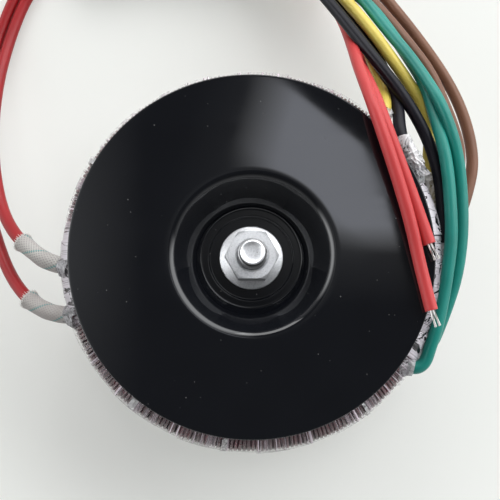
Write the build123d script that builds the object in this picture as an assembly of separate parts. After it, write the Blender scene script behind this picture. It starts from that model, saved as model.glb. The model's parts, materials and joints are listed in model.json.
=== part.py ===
from build123d import *
import os
from math import cos, radians, sin, tan

# A toroidal mains transformer, lying flat on its lower clamping plate. Millimetres, +Z up.
# The origin is on the coil's axis, at the level of the surface that the transformer stands on.

# ---- clamping plates and pads ----
PLATE_RADIUS = 50.0
PLATE_THICKNESS = 1.5
PLATE_BEND = 3.5          # outer radius of the bend into the dish
DISH_DEPTH = 11.2         # from the plate's flat to the dish floor
DISH_MOUTH = 22.5         # radius at which dish wall and flat would meet
DISH_FOOT = 14.2          # radius at which dish wall and floor would meet
DISH_STEP_RADIUS = 12.0   # a low step presses the floor flat for the nut
DISH_STEP = 0.4
PLATE_HOLE = 4.2
PAD_THICKNESS = 2.0
PAD_INNER = 26.0
PAD_OUTER = 49.0

# ---- wound coil ----
COIL_RADIUS = 53.6
COIL_BORE = 19.0
COIL_HEIGHT = 45.0
OUTER_SHOULDER = 8.0
INNER_SHOULDER = 9.0
SMALLEST_SHOULDER = 1.0
FILM = 0.6
FILM_WRAPS = 24
WRAP_ANGLE = 9.0
WRAP_RISE = 0.25
WRAP_SINK = 0.2
WRAP_CLEARANCE = 0.1      # the raised wraps stay this far below the pads
FIT = 0.05                # free play between a layer's high spots and the next layer
TURNS = 48
TURN_ANGLE = 2.4
TURN_RISE = 0.4
SECONDARY = 3.3
INTERWINDING = 0.6
PRIMARY = 3.3
CORE_WRAP = 0.8

# ---- centre bolt ----
BOLT_RADIUS = 4.0
BOLT_CHAMFER = 0.7
BOLT_PAST_NUT = 5.8
ACROSS_FLATS = 13.0
HEAD_HEIGHT = 5.3
WASHER_RADIUS = 8.0
WASHER_THICKNESS = 1.6
NUT_HEIGHT = 8.0
NUT_FLANGE_RADIUS = 8.95
NUT_FLANGE_RIM = 1.2
NUT_FLANGE_RISE = 2.0
NUT_CROWN_RADIUS = 7.25
NUT_MOUTH_RADIUS = 4.7

# ---- leads ----
LEAD = 3.6                # outer diameter of the insulation
TIP_RADIUS = 0.75
TIP_LENGTH = 6.0
STRAND_RADIUS = 0.5
STRAND_SPREAD = 5.0
STRAND_FIT = 0.05         # lets the splayed strands clear the insulation's end face
SLEEVE_BORE = LEAD / 2 + 0.05
SLEEVE_RADIUS = 2.4
ARC_SHARE = 0.45          # share of the shorter run that each bend takes up
TIE_WIDTH = 4.0
TIE_THICKNESS = 0.8
TIE_FIT = 0.1

# ---- stacked heights ----
COIL_FOOT = PLATE_THICKNESS + PAD_THICKNESS
COIL_TOP = COIL_FOOT + COIL_HEIGHT
PLATE_TOP = COIL_TOP + PAD_THICKNESS + PLATE_THICKNESS
MID_HEIGHT = PLATE_TOP / 2
NUT_SEAT = PLATE_TOP - DISH_DEPTH
HEAD_SEAT = DISH_DEPTH - WASHER_THICKNESS
BOLT_END = NUT_SEAT + NUT_HEIGHT + BOLT_PAST_NUT

# Each red lead: out of the coil's left shoulder, down to the floor, round behind the coil, up over
# the plate's rim and along the plate to its stripped end.
RED_ROUTES = {
    "red_lead_a": [
        (-50.5, -3, 44.5), (-56, -2, 43.6), (-61.5, 2, 40.8), (-67, 7, 36.5), (-71.5, 14, 31),
        (-75, 24, 25.5), (-77.5, 36, 19.5), (-78.8, 49, 13), (-78.5, 62, 7.5), (-76.5, 75, 3.5),
        (-72.5, 88, 1.95), (-65.5, 100, 1.95), (-56, 110.5, 1.95), (-43.5, 118.5, 1.95),
        (-29.5, 123, 1.95), (-15, 123.5, 1.95), (-1, 120, 1.95), (11.5, 112.5, 2.2),
        (19.5, 101.5, 5), (24.5, 89, 11.6), (27.5, 76.5, 22), (29, 65, 33.4), (31, 53.5, 47),
        (33, 43.5, 56.2), (36, 32.5, 58.2), (39.6, 20.5, 57.3), (42.6, 8, 55.9), (45.3, -4, 54),
        (48.1, -15.5, 53.9),
    ],
    "red_lead_b": [
        (-48.5, -16.5, 44.5), (-53.5, -16.2, 43.6), (-59, -14, 41.5), (-64, -10, 38.2),
        (-69, -3.5, 33.5), (-73.5, 6, 28.5), (-78, 18, 23), (-81.5, 31, 17), (-83, 45, 11),
        (-83, 59, 6), (-81, 73, 2.6), (-77, 87, 1.95), (-69.5, 102, 1.95), (-58.5, 114, 1.95),
        (-45, 122.5, 1.95), (-30, 127.5, 1.95), (-14, 128, 1.95), (1, 124.5, 1.95),
        (14, 116.5, 1.95), (23, 104.5, 2.2), (27.5, 91.5, 8.5), (29.5, 79, 16.2), (30.7, 67, 26),
        (32.3, 55.5, 38.4), (34, 45, 50.8), (36.8, 34.5, 54.4), (40.6, 24, 53.9),
        (44.6, 12.5, 53.9), (47.9, 2.5, 53.9),
    ],
}

# Each secondary lead on its own: out of the right shoulder and back towards the bundle.
OWN_ROUTES = {
    "black_lead_a": [
        (51.6, -3.4, 41.6), (53.6, 0.5, 41.7), (55, 7.5, 42.2), (55, 16.5, 42.1), (54, 24.5, 42.3),
        (51, 32.5, 42.2), (47, 40.5, 43.4), (42.5, 49, 42.4), (37.5, 58, 40.2), (32, 67.5, 37),
        (25.5, 76.5, 33.4),
    ],
    "black_lead_b": [
        (46.5, 21, 45), (47.3, 26.3, 46.8), (45, 31.5, 46), (43, 37.5, 43), (42.5, 43.5, 39.6),
        (42, 49.5, 36.6), (40, 55.5, 34.4), (37, 61.5, 33), (33.8, 67.5, 31.6), (30.2, 73.6, 29.4),
        (26.2, 80.5, 26.4),
    ],
    "yellow_lead_a": [
        (52, 10, 38.2), (54.5, 15.5, 38), (54, 22, 37.8), (51.5, 29, 38.2), (51, 36, 38.4),
        (49.3, 43.5, 38), (45.8, 52, 37.4), (41.5, 61, 36.4), (35.5, 70.5, 33.8), (30, 78.5, 30.8),
    ],
    "yellow_lead_b": [
        (35.3, 37.3, 43.8), (37.6, 42.3, 43.2), (38, 48, 37), (37.6, 53.8, 31.2),
        (37.2, 60.2, 27.8), (35.8, 67, 26.4), (33.4, 73.8, 25.6), (29, 82.5, 23),
    ],
    "green_lead_a": [
        (41, -28, 44.2), (43, -30.2, 44.4), (46.3, -30.6, 44.6), (49, -28.8, 44.8), (50, -25, 45.2),
        (51.2, -18, 45.8), (52.5, -10.5, 45.8), (54, -2.5, 46.2), (55, 5.5, 46.6), (55, 14.5, 46.6),
        (54.5, 24, 46.4), (53.5, 32, 45.8), (52.3, 41, 42.4), (50.8, 50.5, 38.8), (47, 60, 34.2),
        (42, 69.5, 31), (36, 79.5, 27.4),
    ],
    "green_lead_b": [
        (46.5, -25.5, 39.2), (50.5, -24.5, 39.4), (52.5, -20, 40), (55, -13.5, 40.8),
        (57.5, -6, 41.6), (59, 2.5, 42.4), (59.5, 11, 42.8), (59.5, 20, 43), (58.7, 28.5, 43.8),
        (56.8, 36.5, 45.2), (53.8, 45, 45.2), (50, 54, 42.2), (45, 63, 39.4), (38, 72.5, 36.6),
        (31.1, 81.1, 33.3),
    ],
    "brown_lead_a": [
        (53.5, 2, 30.4), (58, 7, 30), (61.5, 13.5, 29.4), (64.5, 21.5, 28.6), (66.5, 29.5, 27.8),
        (66, 38, 27), (64, 47.5, 26), (60.5, 57, 25), (55, 67, 23.8), (48, 77, 22.4),
        (39.5, 87.5, 20),
    ],
    "brown_lead_b": [
        (52, 14, 31.4), (55.5, 19, 32), (57.5, 25.5, 33), (58.5, 33, 34), (58.5, 40.5, 34.4),
        (57.5, 48.5, 34.2), (55, 57.5, 33), (49, 66.5, 30.2), (42.5, 76.5, 26.6), (34.5, 86, 23),
    ],
}

# Where the eight leads gather: a station's centre, its heading in degrees from +X, and for each
# lead its offset to the right of the heading and its height.
GATHERING = [
    ((22, 94), 132, {
        "black_lead_a": (-7.2, 26.6), "yellow_lead_a": (-2.8, 25.8), "green_lead_b": (2.2, 27),
        "black_lead_b": (-5.4, 22), "green_lead_a": (-0.2, 21.8), "brown_lead_b": (5.2, 20.4),
        "yellow_lead_b": (-4.4, 17.8), "brown_lead_a": (6, 16.4),
    }),
    ((12, 102), 150, {
        "black_lead_a": (-4.8, 19.2), "yellow_lead_a": (-1, 19), "green_lead_b": (2.8, 18.4),
        "black_lead_b": (-4.2, 14.6), "green_lead_a": (-0.2, 14.6), "brown_lead_b": (4, 14.4),
        "yellow_lead_b": (-3.4, 10.4), "brown_lead_a": (3, 10.4),
    }),
    ((0, 106.5), 168, {
        "black_lead_a": (-3.8, 12.4), "yellow_lead_a": (0, 12.4), "green_lead_b": (3.8, 12.5),
        "black_lead_b": (-3.8, 8.3), "green_lead_a": (0, 8.3), "brown_lead_b": (3.9, 8.3),
        "yellow_lead_b": (-2.2, 4.6), "brown_lead_a": (2.2, 4.6),
    }),
]

# The tied bundle: three leads over three over two, and the stations that it passes with the height
# of its lowest leads' axes.
LANE = 3.8
LAYER = 3.65
LANES = {
    "black_lead_a": (-LANE, 2 * LAYER), "yellow_lead_a": (0, 2 * LAYER),
    "green_lead_b": (LANE, 2 * LAYER), "black_lead_b": (-LANE, LAYER), "green_lead_a": (0, LAYER),
    "brown_lead_b": (LANE, LAYER), "yellow_lead_b": (-LANE / 2, 0), "brown_lead_a": (LANE / 2, 0),
}
BUNDLE = [
    ((-12.5, 108), 182, 3.3), ((-24.5, 107.6), 187, 3.0), ((-38, 105.2), 192, 1.95),
    ((-51, 101.8), 196, 1.95),
]

# How many of a lead's runs its sleeve covers before it ends halfway along the next.
SLEEVED_RUNS = {
    "red_lead_a": 3, "red_lead_b": 3, "black_lead_a": 1, "black_lead_b": 2, "yellow_lead_a": 2,
    "yellow_lead_b": 1, "green_lead_a": 1, "green_lead_b": 1, "brown_lead_a": 1, "brown_lead_b": 1,
}


def beside(centre, heading, offset):
    """The point `offset` to the right of a station's centre, seen along its heading."""
    right = radians(heading - 90)
    return centre[0] + offset * cos(right), centre[1] + offset * sin(right)


def secondary_route(name):
    """A secondary lead's whole route: its own points, the gathering and its lane in the bundle."""
    route = list(OWN_ROUTES[name])
    for centre, heading, places in GATHERING:
        offset, height = places[name]
        route.append((*beside(centre, heading, offset), height))
    offset, rise = LANES[name]
    for centre, heading, height in BUNDLE:
        route.append((*beside(centre, heading, offset), height + rise))
    return route


ROUTES = {**RED_ROUTES, **{name: secondary_route(name) for name in OWN_ROUTES}}


# ---- shared shapes ----
def turned(*points, radii=0):
    """A solid of revolution about +Z from its (radius, height) outline."""
    outline = FilletPolyline(*[(r, 0, z) for r, z in points], radius=radii, close=True)
    return revolve(make_face(outline), Axis.Z)


def ring_face(depth):
    """The coil's half section, `depth` inside its outer surface."""
    low, high = COIL_FOOT + depth, COIL_TOP - depth
    bore, rim = COIL_BORE + depth, COIL_RADIUS - depth
    inner = max(INNER_SHOULDER - depth, SMALLEST_SHOULDER)
    outer = max(OUTER_SHOULDER - depth, SMALLEST_SHOULDER)
    outline = FilletPolyline(
        (bore, 0, low), (rim, 0, low), (rim, 0, high), (bore, 0, high),
        radius=[inner, outer, outer, inner], close=True,
    )
    return make_face(outline)


def ring_shell(depth, thickness):
    """One closed layer of the coil, as a hollow ring."""
    return revolve(ring_face(depth) - ring_face(depth + thickness), Axis.Z)


def raised_bands(depth, rise, sink, clearance, count, angle):
    """Bands that stand `rise` proud of a layer at `depth`, spread evenly over rim and shoulders."""
    half = COIL_HEIGHT / 2 - max(depth - rise, 0) - clearance
    flat_edge = COIL_RADIUS - OUTER_SHOULDER
    low, high = MID_HEIGHT - half, MID_HEIGHT + half
    far = COIL_RADIUS + 1
    window = make_face(
        Polyline((flat_edge, 0, low), (far, 0, low), (far, 0, high), (flat_edge, 0, high), close=True)
    )
    section = (ring_face(depth - rise) - ring_face(depth + sink)) & window
    band = revolve(section, Axis.Z, revolution_arc=angle)
    return [Rot(0, 0, 360 * i / count) * band for i in range(count)]


def hexagon(height):
    """A hexagonal prism with two flats facing +Y and -Y."""
    corner = ACROSS_FLATS / 2 / cos(radians(30))
    return extrude(RegularPolygon(corner, 6), height)


# ---- plates, pads and bolt ----
def dished_plate():
    """The upper clamping plate: a flat disc whose middle is pressed down into a bowl."""
    slope = Vector(DISH_MOUTH - DISH_FOOT, DISH_DEPTH - DISH_STEP).normalized()
    side_shift = PLATE_THICKNESS / slope.Y      # the wall's lower face, moved out along the radius
    top, floor = PLATE_TOP, NUT_SEAT
    foot = floor + DISH_STEP
    under = PLATE_THICKNESS
    lean = slope.X / slope.Y
    lower_mouth = DISH_MOUTH + side_shift - under * lean
    lower_foot = DISH_FOOT + side_shift - under * lean
    edge = PLATE_RADIUS
    step = DISH_STEP_RADIUS
    return turned(
        (PLATE_HOLE, floor), (step - DISH_STEP, floor), (step, foot), (DISH_FOOT, foot),
        (DISH_MOUTH, top), (edge, top), (edge, top - under), (lower_mouth, top - under),
        (lower_foot, foot - under), (step + DISH_STEP, foot - under), (step, floor - under),
        (PLATE_HOLE, floor - under),
        radii=[0, 0, 0, 1.2, PLATE_BEND, 0.5, 0.3, PLATE_BEND - under, 1.2 + under, 0, 0, 0],
    )


def pad(foot):
    """A flat rubber ring between plate and coil."""
    return turned(
        (PAD_INNER, foot), (PAD_OUTER, foot), (PAD_OUTER, foot + PAD_THICKNESS),
        (PAD_INNER, foot + PAD_THICKNESS), radii=0.4,
    )


def flange_nut():
    """A hexagon on a cone-topped flange, with its corners turned down to a round crown."""
    top = NUT_SEAT + NUT_HEIGHT
    flange = turned(
        (BOLT_RADIUS, NUT_SEAT), (NUT_FLANGE_RADIUS, NUT_SEAT),
        (NUT_FLANGE_RADIUS, NUT_SEAT + NUT_FLANGE_RIM),
        (ACROSS_FLATS / 2, NUT_SEAT + NUT_FLANGE_RISE), (BOLT_RADIUS, NUT_SEAT + NUT_FLANGE_RISE),
        radii=[0, 0.3, 0.4, 0, 0],
    )
    body = Pos(0, 0, NUT_SEAT) * hexagon(NUT_HEIGHT)
    reach = NUT_CROWN_RADIUS + NUT_HEIGHT
    crown = turned(
        (0, NUT_SEAT), (reach, NUT_SEAT), (NUT_CROWN_RADIUS - 0.55, top),
        (0, top),
    )
    countersink = NUT_MOUTH_RADIUS - BOLT_RADIUS
    bore = turned(
        (0, NUT_SEAT - 1), (BOLT_RADIUS, NUT_SEAT - 1), (BOLT_RADIUS, top - countersink),
        (NUT_MOUTH_RADIUS, top), (NUT_MOUTH_RADIUS, top + 1), (0, top + 1),
    )
    return flange + (body & crown) - bore


def bolt_washer():
    """A plain washer between the bolt's head and the lower plate."""
    return turned(
        (BOLT_RADIUS, HEAD_SEAT), (WASHER_RADIUS, HEAD_SEAT), (WASHER_RADIUS, DISH_DEPTH),
        (BOLT_RADIUS, DISH_DEPTH), radii=[0, 0.3, 0.3, 0],
    )


def centre_bolt():
    """A hexagon bolt that stands on its head in the lower bowl and ends above the nut."""
    foot = HEAD_SEAT - HEAD_HEIGHT
    crown = turned(
        (0, foot), (ACROSS_FLATS / 2 - 0.2, foot), (ACROSS_FLATS / 2 + HEAD_HEIGHT, HEAD_SEAT),
        (0, HEAD_SEAT),
    )
    head = (Pos(0, 0, foot) * hexagon(HEAD_HEIGHT)) & crown
    shank = turned(
        (0, foot + 1), (BOLT_RADIUS, foot + 1), (BOLT_RADIUS, BOLT_END - BOLT_CHAMFER),
        (BOLT_RADIUS - BOLT_CHAMFER, BOLT_END), (0, BOLT_END),
    )
    return head + shank


# ---- coil layers, from the outside in ----
def outer_film():
    """Clear film wound round the coil, with the free edges of its wraps standing proud."""
    bands = raised_bands(0, WRAP_RISE, WRAP_SINK, WRAP_CLEARANCE, FILM_WRAPS, WRAP_ANGLE)
    return ring_shell(0, FILM).fuse(*bands)


def secondary_winding():
    """Enamelled wire: the turns lie close in the bore and fan out round the rim."""
    depth = FILM + FIT + TURN_RISE
    turns = raised_bands(depth, TURN_RISE, 0.3, 0, TURNS, TURN_ANGLE)
    return ring_shell(depth, SECONDARY).fuse(*turns)


# ---- leads ----
def bend_radii(route):
    """The radius of each bend, as large as its two runs allow."""
    points = [Vector(*p) for p in route]
    radii = []
    for before, here, after in zip(points, points[1:], points[2:]):
        turn = (here - before).get_angle(after - here)
        shorter = min((here - before).length, (after - here).length)
        radii.append(ARC_SHARE * shorter / tan(radians(turn) / 2))
    return radii


def swept(path, outer, bore=0):
    """A round rod or tube along a path."""
    start = Plane(origin=path @ 0, z_dir=path % 0)
    section = start * Circle(outer)
    if bore:
        section = section - start * Circle(bore)
    return sweep(section, path=path)


def lead(name):
    """One insulated lead, with its smallest bend and its length printed."""
    route = ROUTES[name]
    radii = bend_radii(route)
    path = FilletPolyline(*route, radius=radii)
    tube = swept(path, LEAD / 2)
    section = Circle(LEAD / 2).area
    print(
        f"{name}: length {path.length:.1f}, volume / (section x length)"
        f" {tube.volume / (section * path.length):.4f}, bends",
        " ".join(f"{r:.0f}" for r in radii),
    )
    return tube


def sleeve(name):
    """The sleeve over the first runs of a lead."""
    route = ROUTES[name]
    covered = SLEEVED_RUNS[name] + 1
    last, following = Vector(*route[covered - 1]), Vector(*route[covered])
    end = (last + following) / 2
    path = FilletPolyline(*route[:covered], end, radius=bend_radii(route)[: covered - 1])
    return swept(path, SLEEVE_RADIUS, SLEEVE_BORE)


def rod(start, direction, length, radius):
    """A straight round rod."""
    return extrude(Plane(origin=start, z_dir=direction) * Circle(radius), length)


def tip(name):
    """The stripped, tinned end of a lead: one rod, or two splayed strands on a red lead."""
    before, end = (Vector(*p) for p in ROUTES[name][-2:])
    along = (end - before).normalized()
    if name not in RED_ROUTES:
        return rod(end, along, TIP_LENGTH, TIP_RADIUS)
    side = along.cross(Vector(0, 0, 1)).normalized() * (STRAND_RADIUS + 0.05)
    strands = []
    for way in (1, -1):
        direction = along.rotate(Axis.Z, -way * STRAND_SPREAD)
        start = end + side * way + along * STRAND_FIT
        strands.append(rod(start, direction, TIP_LENGTH - 1, STRAND_RADIUS))
    return Compound(children=strands)


def bundle_tie():
    """A flat band round the eight leads, halfway between the bundle's first two stations."""
    (start, _, low), (end, _, lower) = BUNDLE[:2]
    start, end = Vector(*start, low), Vector(*end, lower)
    along = (end - start).normalized()
    plane = Plane(origin=(start + end) / 2, x_dir=along.cross(Vector(0, 0, 1)), z_dir=-along)
    corners = [
        (-LANE, 2 * LAYER), (LANE, 2 * LAYER), (LANE, LAYER), (LANE / 2, 0), (-LANE / 2, 0),
        (-LANE, LAYER),
    ]
    hull = make_face(Polyline(*corners, close=True))
    inner = offset(hull, LEAD / 2 + TIE_FIT)
    outer = offset(hull, LEAD / 2 + TIE_FIT + TIE_THICKNESS)
    return plane * extrude(outer - inner, TIE_WIDTH / 2, both=True)


def parts():
    """Every node of the transformer by name."""
    top_plate = dished_plate()
    depth = FILM + FIT + TURN_RISE + SECONDARY
    nodes = {
        "top_plate": top_plate,
        "bottom_plate": mirror(top_plate, Plane.XY.offset(MID_HEIGHT)),
        "top_pad": pad(COIL_TOP),
        "bottom_pad": pad(PLATE_THICKNESS),
        "flange_nut": flange_nut(),
        "bolt_washer": bolt_washer(),
        "centre_bolt": centre_bolt(),
        "outer_film": outer_film(),
        "secondary_winding": secondary_winding(),
        "interwinding_insulation": ring_shell(depth, INTERWINDING),
        "primary_winding": ring_shell(depth + INTERWINDING, PRIMARY),
        "core_wrap": ring_shell(depth + INTERWINDING + PRIMARY, CORE_WRAP),
        "core": revolve(ring_face(depth + INTERWINDING + PRIMARY + CORE_WRAP), Axis.Z),
        "bundle_tie": bundle_tie(),
    }
    for name in ROUTES:
        nodes[name] = lead(name)
        nodes[name.replace("lead", "sleeve")] = sleeve(name)
        nodes[name.replace("lead", "tip")] = tip(name)
    return nodes


os.makedirs("parts", exist_ok=True)
for node, shape in parts().items():
    export_step(shape, f"parts/{node}.step")
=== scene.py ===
import json
from contextlib import contextmanager
from functools import cache, partial
from math import cos, pi, radians, sin

import bmesh
import bpy
from mathutils import Matrix, Vector

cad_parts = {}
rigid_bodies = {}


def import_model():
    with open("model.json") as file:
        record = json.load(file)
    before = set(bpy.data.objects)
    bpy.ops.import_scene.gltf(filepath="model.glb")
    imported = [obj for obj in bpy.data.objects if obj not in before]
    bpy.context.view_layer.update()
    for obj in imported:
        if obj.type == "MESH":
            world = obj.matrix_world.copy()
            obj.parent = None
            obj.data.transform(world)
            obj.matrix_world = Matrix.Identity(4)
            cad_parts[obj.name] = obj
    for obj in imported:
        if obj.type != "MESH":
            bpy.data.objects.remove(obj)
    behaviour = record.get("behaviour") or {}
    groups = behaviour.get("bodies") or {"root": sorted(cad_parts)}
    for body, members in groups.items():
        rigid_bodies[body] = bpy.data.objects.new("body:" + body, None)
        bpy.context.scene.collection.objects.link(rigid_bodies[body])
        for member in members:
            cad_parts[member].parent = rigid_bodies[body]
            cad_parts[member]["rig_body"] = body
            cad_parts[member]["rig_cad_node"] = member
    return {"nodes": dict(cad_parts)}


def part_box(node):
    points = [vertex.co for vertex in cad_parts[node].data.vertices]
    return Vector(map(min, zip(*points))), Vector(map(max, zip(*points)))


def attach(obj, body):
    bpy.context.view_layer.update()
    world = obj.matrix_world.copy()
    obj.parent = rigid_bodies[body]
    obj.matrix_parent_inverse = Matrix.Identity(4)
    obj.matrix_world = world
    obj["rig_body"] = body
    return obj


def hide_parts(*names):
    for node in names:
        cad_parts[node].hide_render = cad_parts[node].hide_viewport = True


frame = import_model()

bl_info = {
    "name": "Toroidal transformer",
    "version": (1, 0, 0),
    "blender": (4, 5, 0),
    "location": "View3D > Sidebar > Transformer",
    "description": "Dresses a toroidal transformer: wound coil, film, leads, sleeves and hardware",
    "category": "Object",
}

MM = 0.001
# how close to a side or an end face a point counts as on it
NEAR, TOUCHING = 0.05 * MM, 0.001 * MM
# between the points of a lead's centre line
STEP = 0.5 * MM
# the coil over its film
RIM_RADIUS = 53.6 * MM
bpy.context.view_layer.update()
NODES = frame["nodes"]

# ---- routes of the leads, in millimetres ----
RED_ROUTES = {
    "red_lead_a": [
        (-50.5, -3, 44.5), (-56, -2, 43.6), (-61.5, 2, 40.8), (-67, 7, 36.5), (-71.5, 14, 31),
        (-75, 24, 25.5), (-77.5, 36, 19.5), (-78.8, 49, 13), (-78.5, 62, 7.5), (-76.5, 75, 3.5),
        (-72.5, 88, 1.95), (-65.5, 100, 1.95), (-56, 110.5, 1.95), (-43.5, 118.5, 1.95),
        (-29.5, 123, 1.95), (-15, 123.5, 1.95), (-1, 120, 1.95), (11.5, 112.5, 2.2),
        (19.5, 101.5, 5), (24.5, 89, 11.6), (28.5, 76.8, 22), (29.9, 65.3, 33.4),
        (30.4, 53.2, 47), (31.9, 43.2, 56.2), (35, 32.3, 58.2), (38.9, 20.3, 57.3),
        (42.6, 8, 55.9), (45.3, -4, 54), (48.1, -15.5, 53.9),
    ],
    "red_lead_b": [
        (-48.5, -16.5, 44.5), (-53.5, -16.2, 43.6), (-59, -14, 41.5), (-64, -10, 38.2),
        (-69, -3.5, 33.5), (-73.5, 6, 28.5), (-78, 18, 23), (-81.5, 31, 17), (-83, 45, 11),
        (-83, 59, 6), (-81, 73, 2.6), (-77, 87, 1.95), (-69.5, 102, 1.95), (-58.5, 114, 1.95),
        (-45, 122.5, 1.95), (-30, 127.5, 1.95), (-14, 128, 1.95), (1, 124.5, 1.95),
        (14, 116.5, 1.95), (23, 104.5, 2.2), (27.5, 91.5, 8.5), (29.5, 79, 16.2), (31.6, 67.4, 26),
        (32.3, 55.5, 38.4), (34, 45, 50.8), (36.8, 34.5, 54.4), (40.6, 24, 53.9),
        (44.6, 12.5, 53.9), (47.9, 2.5, 53.9),
    ],
}
OWN_ROUTES = {
    "black_lead_a": [
        (51.6, -3.4, 41.6), (53.6, 0.5, 41.7), (54.2, 7.5, 42.2), (54, 16.5, 42.1),
        (53.2, 24.3, 42.3), (51, 32.5, 42.2), (47, 40.5, 43.4), (42.1, 48.7, 42.6),
        (36.5, 57.2, 40.5), (30.8, 66.4, 37), (24.9, 75.9, 33.4),
    ],
    "black_lead_b": [
        (46.5, 21, 45), (46.3, 26.5, 47), (42.4, 31.5, 47.2), (41.6, 36.8, 46), (42.1, 43, 42.2),
        (41.3, 49.3, 38.4), (39.4, 55.5, 35.8), (37, 61.5, 33.8), (33.8, 67.5, 31.6),
        (30.2, 73.6, 29.4), (26.2, 80.5, 26.4),
    ],
    "yellow_lead_a": [
        (52, 10, 38.2), (53.9, 15.5, 38), (52, 22, 37.8), (51, 29, 38.2), (51.8, 36.3, 38.4),
        (50.6, 44, 38), (46, 52, 37.6), (40.7, 60.2, 37), (34.9, 69.9, 34.6), (29.6, 78, 31.2),
    ],
    "yellow_lead_b": [
        (35.3, 37.3, 43.8), (37.2, 40.3, 44), (38.5, 43.8, 42.6), (38.6, 49.5, 37.4),
        (37.8, 55.5, 32.4), (36.6, 61, 28.8), (35, 66.6, 26.8), (33, 73.4, 25.6), (29, 82.5, 23),
    ],
    "green_lead_a": [
        (41, -28, 44.2), (42.8, -30, 44.3), (45.5, -30.9, 44.5), (47.9, -29.2, 44.7),
        (49.2, -25, 45.2), (51.2, -19.5, 45.6), (53, -11.5, 45.8), (54.6, -2.5, 46.2),
        (55.6, 5.5, 46.6), (55.5, 14.5, 46.6), (55, 24.1, 46.4), (53.9, 32.1, 45.8),
        (52.3, 41, 42.4), (50.8, 50.5, 38.8), (47, 60, 34.2), (42, 69.5, 31), (36, 79.5, 27.4),
    ],
    "green_lead_b": [
        (46.5, -25.5, 39.2), (50.5, -24.5, 39.4), (52.5, -20, 40), (55, -13.5, 40.8),
        (57.5, -6, 41.6), (59, 2.5, 42.4), (59.6, 11, 42.8), (59.4, 20, 43), (58.5, 28, 44),
        (57, 34.2, 45), (55, 40.2, 45.2), (52.9, 45.8, 44.4), (50.2, 52, 41.6),
        (46.2, 59.8, 38.4), (41.4, 67.2, 35.4), (35.4, 77, 31.8),
    ],
    "brown_lead_a": [
        (53.5, 2, 30.4), (58, 7, 30), (61.5, 13.5, 29.4), (64.5, 21.5, 28.6), (66.5, 29.5, 27.8),
        (66, 38, 27), (63.8, 47.2, 26), (60, 56.2, 25), (54.3, 65.9, 23.8), (47.5, 76.1, 22.4),
        (39.5, 87.5, 20),
    ],
    "brown_lead_b": [
        (52, 14, 31.4), (57.3, 18.8, 32), (61, 25.6, 33), (61.2, 33.3, 34), (59.1, 40.7, 34.4),
        (56.4, 47.9, 34.2), (53.1, 56.9, 33), (47.2, 66.5, 30.2), (40.8, 76.5, 26.6), (33.5, 86, 23),
    ],
}
# distances between neighbours and between layers in the bundle
LANE, LAYER = 3.8, 3.65
# middle and heading of the three places where the secondary leads come together
MEETINGS = (((22, 94), 132), ((12, 102), 150), ((0, 106.5), 168))
# each lead's offset and height at those places, then its lane and layer in the bundle
GATHERED = {
    "black_lead_a": ((-7.2, 26.6), (-4.8, 19.2), (-3.8, 12.4), (-1, 2)),
    "yellow_lead_a": ((-2.8, 25.8), (-1, 19), (0, 12.4), (0, 2)),
    "green_lead_b": ((2.2, 27), (2.8, 18.4), (3.8, 12.5), (1, 2)),
    "black_lead_b": ((-5.4, 22), (-4.2, 14.6), (-3.8, 8.3), (-1, 1)),
    "green_lead_a": ((-0.2, 21.8), (-0.2, 14.6), (0, 8.3), (0, 1)),
    "brown_lead_b": ((5.2, 20.4), (4, 14.4), (3.9, 8.3), (1, 1)),
    "yellow_lead_b": ((-4.4, 17.8), (-3.4, 10.4), (-2.2, 4.6), (-0.5, 0)),
    "brown_lead_a": ((6, 16.4), (3, 10.4), (2.2, 4.6), (0.5, 0)),
}
# the bundle's middle, heading and lowest height
BUNDLE = [
    ((-12.5, 108), 182, 3.3), ((-24.5, 107.6), 187, 3.0), ((-38, 105.2), 192, 1.95),
    ((-51, 101.8), 196, 1.95),
]
# how far each sleeve reaches along its lead
SLEEVED = {
    "red_lead_a": 17.5, "red_lead_b": 15.5, "black_lead_a": 8, "black_lead_b": 13.5,
    "yellow_lead_a": 15, "yellow_lead_b": 5.5, "green_lead_a": 4.5, "green_lead_b": 4,
    "brown_lead_a": 10, "brown_lead_b": 9.5,
}


def beside(centre, heading, offset):
    """The place to the right of a centre, seen along the heading."""
    right = radians(heading - 90)
    return centre[0] + offset * cos(right), centre[1] + offset * sin(right)


def secondary_route(name):
    """A secondary lead's own points, then the gathering, then its lane in the bundle."""
    route = list(OWN_ROUTES[name])
    *gathered, (lane, layer) = GATHERED[name]
    for (centre, heading), (offset, height) in zip(MEETINGS, gathered):
        route.append((*beside(centre, heading, offset), height))
    for centre, heading, height in BUNDLE:
        route.append((*beside(centre, heading, lane * LANE), height + layer * LAYER))
    return route


ROUTES = {**RED_ROUTES, **{name: secondary_route(name) for name in OWN_ROUTES}}


# ---- sizes and colours a user may change ----
def size_of(name, description, millimetres):
    return bpy.props.FloatProperty(name=name, description=description, default=millimetres * MM,
                                   unit="LENGTH", precision=4)


def number_of(name, description, number):
    return bpy.props.IntProperty(name=name, description=description, default=number)


def colour_of(name, value):
    return bpy.props.FloatVectorProperty(
        name=name, description=f"Colour of the {name.lower()}", subtype="COLOR", default=value,
        min=0, max=1,
    )


class CoilSizes(bpy.types.PropertyGroup):
    """Sizes of the wound coil under its film."""

    turns: number_of("Turns", "Wires seen round the rim", 276)
    wire: size_of("Wire", "Diameter of the enamelled wire", 1.15)
    wraps: number_of("Wraps", "Film wraps of each of the three kinds", 15)
    crinkle: size_of("Crinkle", "Depth of the film's creases", 0.16)


class LeadSizes(bpy.types.PropertyGroup):
    """Sizes of the insulated leads."""

    diameter: size_of("Lead", "Outer diameter of the insulation", 3.6)
    braid: size_of("Braided sleeve", "Outer diameter of the braided sleeves", 4.8)
    film: size_of("Film sleeve", "Outer diameter of the clear sleeves", 4.9)


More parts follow.
